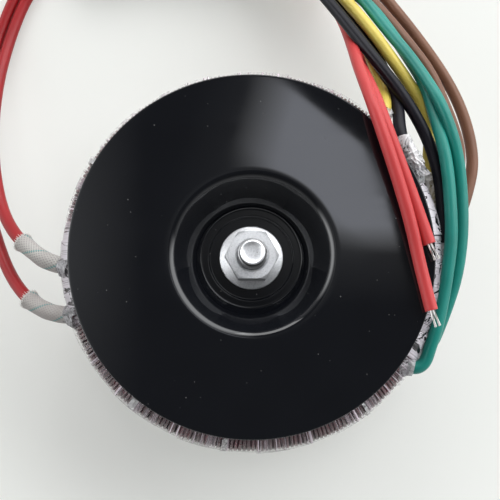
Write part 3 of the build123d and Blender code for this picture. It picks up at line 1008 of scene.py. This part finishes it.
# ---- wound coil ----
def rim_section(name, depth, inner, shoulder):
    """An open line round the coil's rim: in over the upper shoulder, down, and back under."""
    low, high = (c.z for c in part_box("outer_film"))
    rim = RIM_RADIUS - depth
    low, high = low + depth, high - depth
    line = three_sides(name, inner, rim, (low + high) / 2, high - low)
    with shaping(line):
        pick(line, lambda co: co.x > rim - NEAR)
        bpy.ops.mesh.bevel(offset=shoulder, offset_type="WIDTH", segments=9, affect="VERTICES")
    return line


def off_centre(coil):
    """The wound coil sits a little off the middle of its plates."""
    only(coil)
    with shaping(coil):
        bpy.ops.transform.translate(value=(0.45 * MM, -0.35 * MM, 0))
    return coil


class TRANSFORMER_OT_winding(bpy.types.Operator):
    """Winds the enamelled turns that fan out round the coil's rim"""

    bl_idname = "transformer.winding"
    bl_label = "Secondary winding"

    # how far in the turns and the bed under them reach, and how deep each lies in the coil
    REACH = 38 * MM
    FILM_DEPTH, BED_DEPTH = 0.5 * MM, 1.7 * MM
    # the heights at which a turn may bend
    BENDS = [h * MM for h in (14, 20, 26, 32, 38)]

    def execute(self, context):
        sizes = context.scene.transformer_coil
        line = rim_section("turn", self.FILM_DEPTH + sizes.wire / 2, self.REACH, 7.4 * MM)
        with shaping(line):
            cut(line, *self.BENDS)
        only(line)
        bpy.ops.object.convert(target="CURVE")
        line = bpy.context.active_object
        line.data.bevel_depth = sizes.wire / 2
        line.data.bevel_resolution = 1
        turn = to_mesh(line)
        with shaping(turn):
            spin(sizes.turns, copies=True)
        turns = fresh("winding_turns")
        crumple(turns, 9 * MM, 0.4 * MM, "X")
        crumple(turns, 7 * MM, 0.4 * MM, "Y")
        below = rim_section("winding_bed", self.BED_DEPTH, self.REACH, 6.4 * MM)
        with shaping(below):
            spin(128)
            merge(below)
            face_outwards()
        whole = off_centre(joined("winding_turns", [turns, below]))
        smooth(whole, 60)
        dress(whole, "enamel", "winding_enamel", "secondary_winding")
        return {"FINISHED"}


class TRANSFORMER_OT_film(bpy.types.Operator):
    """Wraps the coil in overlapping strips of clear film"""

    bl_idname = "transformer.film"
    bl_label = "Film wraps"

    # depth under the surface, degrees across, and how far the arc's centre is shifted
    STRIPS = ((0.2 * MM, 13, -0.35 * MM), (0.1 * MM, 10, -0.6 * MM), (0.3 * MM, 15, 0.35 * MM))
    # degrees round the coil at which a loose edge stands up
    FLAPS = (-128, -98, -53, 150)
    REACH, SHOULDER = 43 * MM, 8 * MM
    BENDS = [h * MM for h in range(13, 41, 3)]

    def strip(self, name, depth, width, shift, cuts):
        """One strip over the rim; shifting the centre of its arc lifts its free edge."""
        line = rim_section(name, depth, self.REACH, self.SHOULDER)
        with shaping(line):
            cut(line, *self.BENDS)
            pick(line)
            spin(cuts, radians(width), (0, shift, 0))
        return line

    def execute(self, context):
        sizes = context.scene.transformer_coil
        strips, flaps = [], []
        for kind, (depth, width, shift) in enumerate(self.STRIPS):
            strip = self.strip(f"strip_{kind}", depth, width, shift, 10)
            with shaping(strip):
                swing(radians(7 * kind))
                pick(strip)
                spin(sizes.wraps, copies=True)
            strips.append(crumple(strip, (3 + 2 * kind) * MM, sizes.crinkle))
        wraps = off_centre(joined("film_wraps", strips))
        smooth(wraps, 35)
        dress(wraps, "film", "film_clear", "outer_film")
        for i, angle in enumerate(self.FLAPS):
            width, shift = 2.2 - 0.6 * (i % 3), -(4 + 3 * (i % 2)) * MM
            flap = self.strip(f"flap_{i}", 0.1 * MM, width, shift, 6)
            with shaping(flap):
                swing(-radians(angle))
            flaps.append(crumple(flap, 4 * MM, 0.3 * MM))
        edges = off_centre(joined("film_edges", flaps))
        smooth(edges, 35)
        dress(edges, "sleeve_film", "film_clear")
        return {"FINISHED"}


class TRANSFORMER_OT_exits(bpy.types.Operator):
    """Gathers the film round each lead where it leaves the coil"""

    bl_idname = "transformer.exits"
    bl_label = "Film at the exits"

    # the tuft's radius at the coil and at its mouth, its length, and the coil's edge
    FOOT, MOUTH, TALL = 3.5 * MM, 2.3 * MM, 3.6 * MM
    EDGE = 52.2 * MM

    def execute(self, context):
        for seed, (name, route) in enumerate(ROUTES.items()):
            points = centreline(route, 9 * MM)
            start = next((p for p in points if p.xy.length > self.EDGE), points[4])
            along = (points[-1] - points[0]).normalized()
            deselect()
            bpy.ops.mesh.primitive_cone_add(
                vertices=28, radius1=self.FOOT, radius2=self.MOUTH, depth=self.TALL,
                location=(0, 0, 0), end_fill_type="NOTHING",
            )
            tuft = fresh(name.replace("lead", "tuft"))
            with shaping(tuft):
                bpy.ops.mesh.subdivide(number_cuts=3)
            aim(tuft, start - along * 0.6 * MM, along)
            crumple(tuft, (1.6 + 0.3 * (seed % 3)) * MM, 1.8 * MM)
            smooth(tuft, 45)
            # painted shade: the tufts at the exits get the dark knot film
            dress(tuft, "knot_film_shaded", "sleeve_film")
        return {"FINISHED"}


# ---- hardware ----
class TRANSFORMER_OT_plates(bpy.types.Operator):
    """Presses the two dished plates: a closed section, rounded at its bends and spun"""

    bl_idname = "transformer.plates"
    bl_label = "Pressed plates"

    # radius, height, and length of the rounding along each side, the upper face first
    SECTION = (
        (4.2, 40.8, 0), (11.6, 40.8, 0.15), (12, 41.2, 0.15), (14.2, 41.2, 0.5), (21.8, 52, 2.2),
        (50, 52, 0.45), (50, 50.5, 0.25), (22.58, 50.5, 1.4), (14.98, 39.7, 1.2),
        (12.2, 39.7, 0.1), (11.8, 39.3, 0.1), (4.2, 39.3, 0),
    )
    # how far past a rounding its face is held flat, where there is this much room
    HELD, ROOM = 0.2, 0.4
    # the height between the two plates about which the lower one mirrors the upper
    HALF_WAY = 26 * MM

    def corners(self):
        """The section's corners, with a point beyond each rounding that keeps its face flat."""
        places = [(Vector((out, 0, up)), offset) for out, up, offset in self.SECTION]
        for i, (here, offset) in enumerate(places):
            reach = offset + self.HELD
            beside = []
            for other, _ in (places[i - 1], places[(i + 1) % len(places)]):
                roomy = offset and (other - here).length > 2 * reach + self.ROOM
                beside.append([(here + (other - here).normalized() * reach, 0)] if roomy else [])
            yield from (*beside[0], (here, offset), *beside[1])

    def section(self, name):
        deselect()
        bpy.ops.mesh.primitive_plane_add(size=MM)
        line = fresh(name)
        corners = list(self.corners())
        with shaping(line):
            bpy.ops.mesh.merge(type="CENTER")
            here = Vector()
            for i, (corner, _) in enumerate((*corners, corners[0])):
                step = (corner - here) * MM
                if i:
                    bpy.ops.mesh.extrude_region_move(TRANSFORM_OT_translate={"value": step})
                else:
                    bpy.ops.transform.translate(value=step)
                here = corner
            merge(line)
            for corner, offset in corners:
                if offset:
                    pick(line, lambda co: (co - corner * MM).length < 0.02 * MM)
                    bpy.ops.mesh.bevel(offset=offset * MM, offset_type="WIDTH",
                                       affect="VERTICES", segments=14 if offset > 1 else 5)
        return line

    def execute(self, context):
        for name, node in (("pressed_plate_upper", "top_plate"),
                           ("pressed_plate_lower", "bottom_plate")):
            plate = self.section(name)
            with shaping(plate):
                spin(180)
                merge(plate)
                if node == "bottom_plate":
                    swing(pi, "X", (0, 0, self.HALF_WAY))
                face_outwards()
            smooth(plate, 30)
            dress(plate, "plate", "plate_black", node)
        return {"FINISHED"}


class TRANSFORMER_OT_hardware(bpy.types.Operator):
    """Cuts the bolt's thread and finishes pads, nut and washer"""

    bl_idname = "transformer.hardware"
    bl_label = "Pads and bolt"

    # the thread's radii and pitch, the length of bolt that shows it, and the end's chamfer
    CREST, ROOT, PITCH = 3.97 * MM, 3.35 * MM, 1.25 * MM
    THREADED = 9 * MM
    CHAMFER = 0.45 * MM

    def execute(self, context):
        for node, finish in (("top_pad", "rubber"), ("bottom_pad", "rubber"),
                             ("flange_nut", "zinc"), ("bolt_washer", "zinc")):
            coat(NODES[node], finish)
        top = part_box("centre_bolt")[1].z
        seam = top - self.THREADED
        parts = [self.shank(seam), self.thread(seam, top), self.end(seam, top)]
        bolt = joined("threaded_bolt", parts)
        smooth(bolt, 32)
        dress(bolt, "zinc", "zinc", "centre_bolt")
        return {"FINISHED"}

    def shank(self, seam):
        """The bolt's plain lower part."""
        copy = NODES["centre_bolt"].copy()
        copy.data = copy.data.copy()
        copy.parent = None
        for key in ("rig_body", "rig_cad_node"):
            if key in copy:
                del copy[key]
        copy.name = "bolt_shank"
        bpy.context.collection.objects.link(copy)
        only(copy)
        with shaping(copy):
            merge(copy)
            cut(copy, seam, clear_outer=True, use_fill=True)
        return copy

    def thread(self, seam, top):
        """One period of the thread's side, wound up the bolt."""
        ridge = three_sides("thread", self.ROOT, self.CREST, seam, self.PITCH)
        with shaping(ridge):
            pick(ridge, lambda co: co.x > self.CREST - NEAR)
            bpy.ops.transform.resize(value=(1, 1, 0.12))
        modify(ridge, "thread", "SCREW", axis="Z", angle=2 * pi, screw_offset=self.PITCH,
               iterations=7, steps=40, render_steps=40, use_merge_vertices=True)
        with shaping(ridge):
            cut(ridge, top - self.CHAMFER, clear_outer=True)
            merge(ridge, 1e-7)
            face_outwards()
        return ridge

    def end(self, seam, top):
        """The core of the thread, with a chamfered and dimpled end."""
        deselect()
        bpy.ops.mesh.primitive_cylinder_add(
            vertices=40, radius=3.45 * MM, depth=top - seam, location=(0, 0, (top + seam) / 2)
        )
        end = settle(fresh("bolt_end"))
        with shaping(end):
            pick(end, lambda co: co.z > top - TOUCHING)
            bpy.ops.mesh.bevel(offset=self.CHAMFER, segments=2, affect="EDGES")
            pick(end, lambda co: co.z > top - TOUCHING)
            for rim, drop in ((0.5, 0.28), (0.8, 0.12)):
                bpy.ops.mesh.inset(thickness=rim * MM)
                bpy.ops.transform.translate(value=(0, 0, -drop * MM))
        return end


class TRANSFORMER_OT_inner(bpy.types.Operator):
    """Finishes the core, its wrap, the primary and the insulation between the windings"""

    bl_idname = "transformer.inner"
    bl_label = "Inner layers"

    def execute(self, context):
        for node, finish in (("core", "core"), ("core_wrap", "tape"),
                             ("primary_winding", "primary"), ("interwinding_insulation", "tape")):
            coat(NODES[node], finish)
        return {"FINISHED"}


class TRANSFORMER_OT_tie(bpy.types.Operator):
    """Finishes the tie round the eight leads, with its head and cut tail"""

    bl_idname = "transformer.tie"
    bl_label = "Bundle tie"

    HEAD = (5.6 * MM, 5.2 * MM, 4 * MM)

    def execute(self, context):
        coat(NODES["bundle_tie"], "nylon")
        low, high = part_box("bundle_tie")
        middle = (low + high) / 2
        (start, _, _), (stop, _, _) = BUNDLE[:2]
        along = Vector((stop[0] - start[0], stop[1] - start[1], 0)).normalized()
        deselect()
        bpy.ops.mesh.primitive_cube_add(size=1)
        head = fresh("tie_head")
        head.scale = self.HEAD
        settle(head)
        with shaping(head):
            bpy.ops.mesh.bevel(offset=0.5 * MM, segments=3, affect="EDGES")
            pick(head, lambda co: co.x > self.HEAD[0] / 2 - NEAR)
            bpy.ops.mesh.inset(thickness=0.55 * MM)
            bpy.ops.mesh.extrude_region_move(TRANSFORM_OT_translate={"value": (5 * MM, 0, 0)})
            bpy.ops.transform.resize(value=(1, 0.9, 0.35))
        across = Vector((-along.y, along.x, 0))
        turn = Matrix((across, along, Vector((0, 0, 1)))).transposed().to_4x4()
        head.matrix_world = Matrix.Translation((middle.x, middle.y, high.z + 1.5 * MM)) @ turn
        settle(head)
        smooth(head, 40)
        dress(head, "nylon", "tie_nylon")
        return {"FINISHED"}


class TRANSFORMER_OT_declare(bpy.types.Operator):
    """Works out, for each lead, the pieces that it carries and its first point, and does nothing
    more with them
    """

    bl_idname = "transformer.declare"
    bl_label = "Declare the leads"

    def execute(self, context):
        for name, route in ROUTES.items():
            carried = [name.replace("lead", part) for part in ("sheath", "strands")]
            if name in RED_ROUTES:
                carried.append(name.replace("lead", "fray"))
            if name == "black_lead_a":
                carried += ["bundle_tie", "tie_head"]
            tuple(c * MM for c in route[0])
        return {"FINISHED"}


# ---- stage ----
class TRANSFORMER_OT_stage(bpy.types.Operator):
    """Sets the camera, the pale floor and soft light"""

    bl_idname = "transformer.stage"
    bl_label = "Stage"

    # the camera's way back from the middle of the top plate, its distance, aim and lens
    BACK = Vector((-0.030, -0.1253, 0.99166))
    DISTANCE = 0.3
    AIM = (-0.00065, 0.0009)
    LENS = 79.7
    # how strongly the floor shows its own colour, and the ceiling panel's level
    SHOWN = 0.33
    PANEL_LEVEL = 3.1

    def camera(self, context):
        plate_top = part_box("top_plate")[1].z
        place = Vector((0, 0, plate_top)) + self.BACK * self.DISTANCE
        forward = (Vector((*self.AIM, plate_top)) - place).normalized()
        right = forward.cross(Vector((0, 1, 0))).normalized()
        up = right.cross(forward)
        data = bpy.data.cameras.new("camera")
        data.lens = self.LENS
        data.sensor_width = 36
        data.clip_start = 0.01
        camera = bpy.data.objects.new("camera", data)
        context.collection.objects.link(camera)
        turn = Matrix((right, up, -forward)).transposed()
        camera.matrix_world = Matrix.Translation(place) @ turn.to_4x4()
        context.scene.camera = camera

    def floor(self):
        deselect()
        bpy.ops.mesh.primitive_plane_add(size=6, location=(0, 0, 0))
        floor = fresh("floor")
        mat, tree = material("floor", Roughness=0.6, Specular_IOR_Level=0.25,
                             Emission_Color=(0.96, 0.98, 0.94, 1))
        cloudy = noise(place_on(tree), 9.0, Detail=3.0)
        rays = add(tree, "ShaderNodeLightPath").outputs
        seen = largest(rays["Is Camera Ray"],
                       largest(rays["Is Glossy Ray"], rays["Is Transmission Ray"]))
        surface(mat, Emission_Strength=times(seen, self.SHOWN),
                Base_Color=blend(cloudy, (0.6, 0.604, 0.577, 1), (0.64, 0.644, 0.617, 1)))
        floor.data.materials.append(mat)

    def lamp(self, name, place, size, watts):
        """A soft box that faces the object."""
        data = bpy.data.lights.new(name, "AREA")
        data.shape = "RECTANGLE"
        data.size, data.size_y = size
        data.energy = watts
        lamp = bpy.data.objects.new(name, data)
        bpy.context.collection.objects.link(lamp)
        turn = (-Vector(place)).to_track_quat("-Z", "Y").to_matrix().to_4x4()
        lamp.matrix_world = Matrix.Translation(place) @ turn

    def studio(self, context):
        """A pale room with a dim ceiling, one ceiling panel and two windows."""
        world = bpy.data.worlds.new("studio")
        context.scene.world = world
        world.use_nodes = True
        tree = world.node_tree
        x, y, z = split(place_on(tree, "Generated"))
        rise = largest(z, 0.02)
        across, ahead = (maths("DIVIDE", way, rise) for way in (x, y))

        def side(across_by, ahead_by, offset, low, high):
            """One soft straight side of a bright area, on the plane of the ceiling."""
            place = plus(times(across, across_by), times(ahead, ahead_by), offset)
            return spread(place, low, high)

        # each bright area is all its sides times its level
        beam = side(-0.632, -0.775, 0.2605, -0.002, 0.002)
        frame_side = times(side(-0.919, -0.395, 0.2134, -0.001, 0.003),
                           side(-0.972, -0.235, 0.1918, -0.001, 0.003))
        panel = times(beam, frame_side, side(0.964, -0.269, 0.0358, -0.016, 0.03),
                      side(0.619, 0.786, -0.1735, -0.01, 0.02),
                      side(0, 1, -0.1427, -0.016, 0.01), self.PANEL_LEVEL)
        glow = times(beam, frame_side, side(0.964, -0.269, 0.0358, -0.06, 0.06),
                     side(0, 1, -0.13, -0.05, 0.01), 0.35)
        window = times(side(0.632, 0.775, -0.2605, 0.05, 0.4), side(0.087, 0.996, 0, 0, 0.4),
                       side(1, 0, 0, 0, 0.4), 4.6)
        doorway = times(side(-1, 0, -0.25, 0, 0.7), side(-0.707, -0.707, 0, 0, 0.5),
                        side(-0.5, 0.866, 0, 0, 0.5), 5.4)
        spill = times(side(-1, 0, -0.07, 0, 0.1), side(0, 1, 0.1, 0, 0.3),
                      side(0, -1, 0.4, 0, 0.3), side(1, 0, 0.4, 0, 0.1), 1.2)
        # the low windows show in shiny parts more than they light dull ones
        rays = add(tree, "ShaderNodeLightPath").outputs
        sill = spread(z, 0.2, 0.45, 0.3, 1.0)
        step = spread(z, 0.28, 0.5, 0.2, 0.95)
        shiny, seen = rays["Is Glossy Ray"], rays["Is Camera Ray"]
        low_light = plus(times(window, spread(shiny, 0, 1, 0.6, sill)),
                         times(doorway, spread(shiny, 0, 1, 0.12, step)))
        walls = spread(z, 0.35, 0.75, 0.8, 0.09)
        level = plus(low_light, panel, glow, spill, walls)
        # seen by itself, the room is plain and white
        background = tree.nodes["Background"]
        plug(background.inputs["Strength"], plus(seen, times(level, maths("SUBTRACT", 1.0, seen))))
        plug(background.inputs["Color"],
             blend(maths("DIVIDE", panel, self.PANEL_LEVEL), (0.97, 0.985, 1, 1),
                   (0.95, 0.985, 1.09, 1)))

    def execute(self, context):
        self.camera(context)
        self.floor()
        self.studio(context)
        self.lamp("back_soft", (-0.2, 1.3, 0.9), (0.9, 0.7), 9.0)
        context.scene.view_settings.view_transform = "Standard"
        return {"FINISHED"}


STEPS = [
    TRANSFORMER_OT_stage, TRANSFORMER_OT_leads, TRANSFORMER_OT_sleeves, TRANSFORMER_OT_tips,
    TRANSFORMER_OT_winding, TRANSFORMER_OT_film, TRANSFORMER_OT_exits, TRANSFORMER_OT_plates,
    TRANSFORMER_OT_hardware, TRANSFORMER_OT_inner, TRANSFORMER_OT_tie, TRANSFORMER_OT_declare,
]
SETTINGS = {"transformer_coil": CoilSizes, "transformer_leads": LeadSizes,
            "transformer_colours": Colours}


class VIEW3D_PT_transformer(bpy.types.Panel):
    """Builds the transformer's pieces, one group at a time"""

    bl_idname = "VIEW3D_PT_transformer"
    bl_label = "Toroidal transformer"
    bl_space_type = "VIEW_3D"
    bl_region_type = "UI"
    bl_category = "Transformer"

    def draw(self, context):
        for name, kind in SETTINGS.items():
            box = self.layout.box()
            for prop in kind.__annotations__:
                box.prop(getattr(context.scene, name), prop)
        for step in STEPS:
            self.layout.operator(step.bl_idname)


def register():
    for kind in (*SETTINGS.values(), *STEPS, VIEW3D_PT_transformer):
        bpy.utils.register_class(kind)
    for name, kind in SETTINGS.items():
        setattr(bpy.types.Scene, name, bpy.props.PointerProperty(type=kind))


def unregister():
    for name in SETTINGS:
        delattr(bpy.types.Scene, name)
    for kind in reversed((*SETTINGS.values(), *STEPS, VIEW3D_PT_transformer)):
        bpy.utils.unregister_class(kind)


def main():
    register()
    for step in STEPS:
        family, name = step.bl_idname.split(".")
        getattr(getattr(bpy.ops, family), name)()


if __name__ == "__main__":
    main()
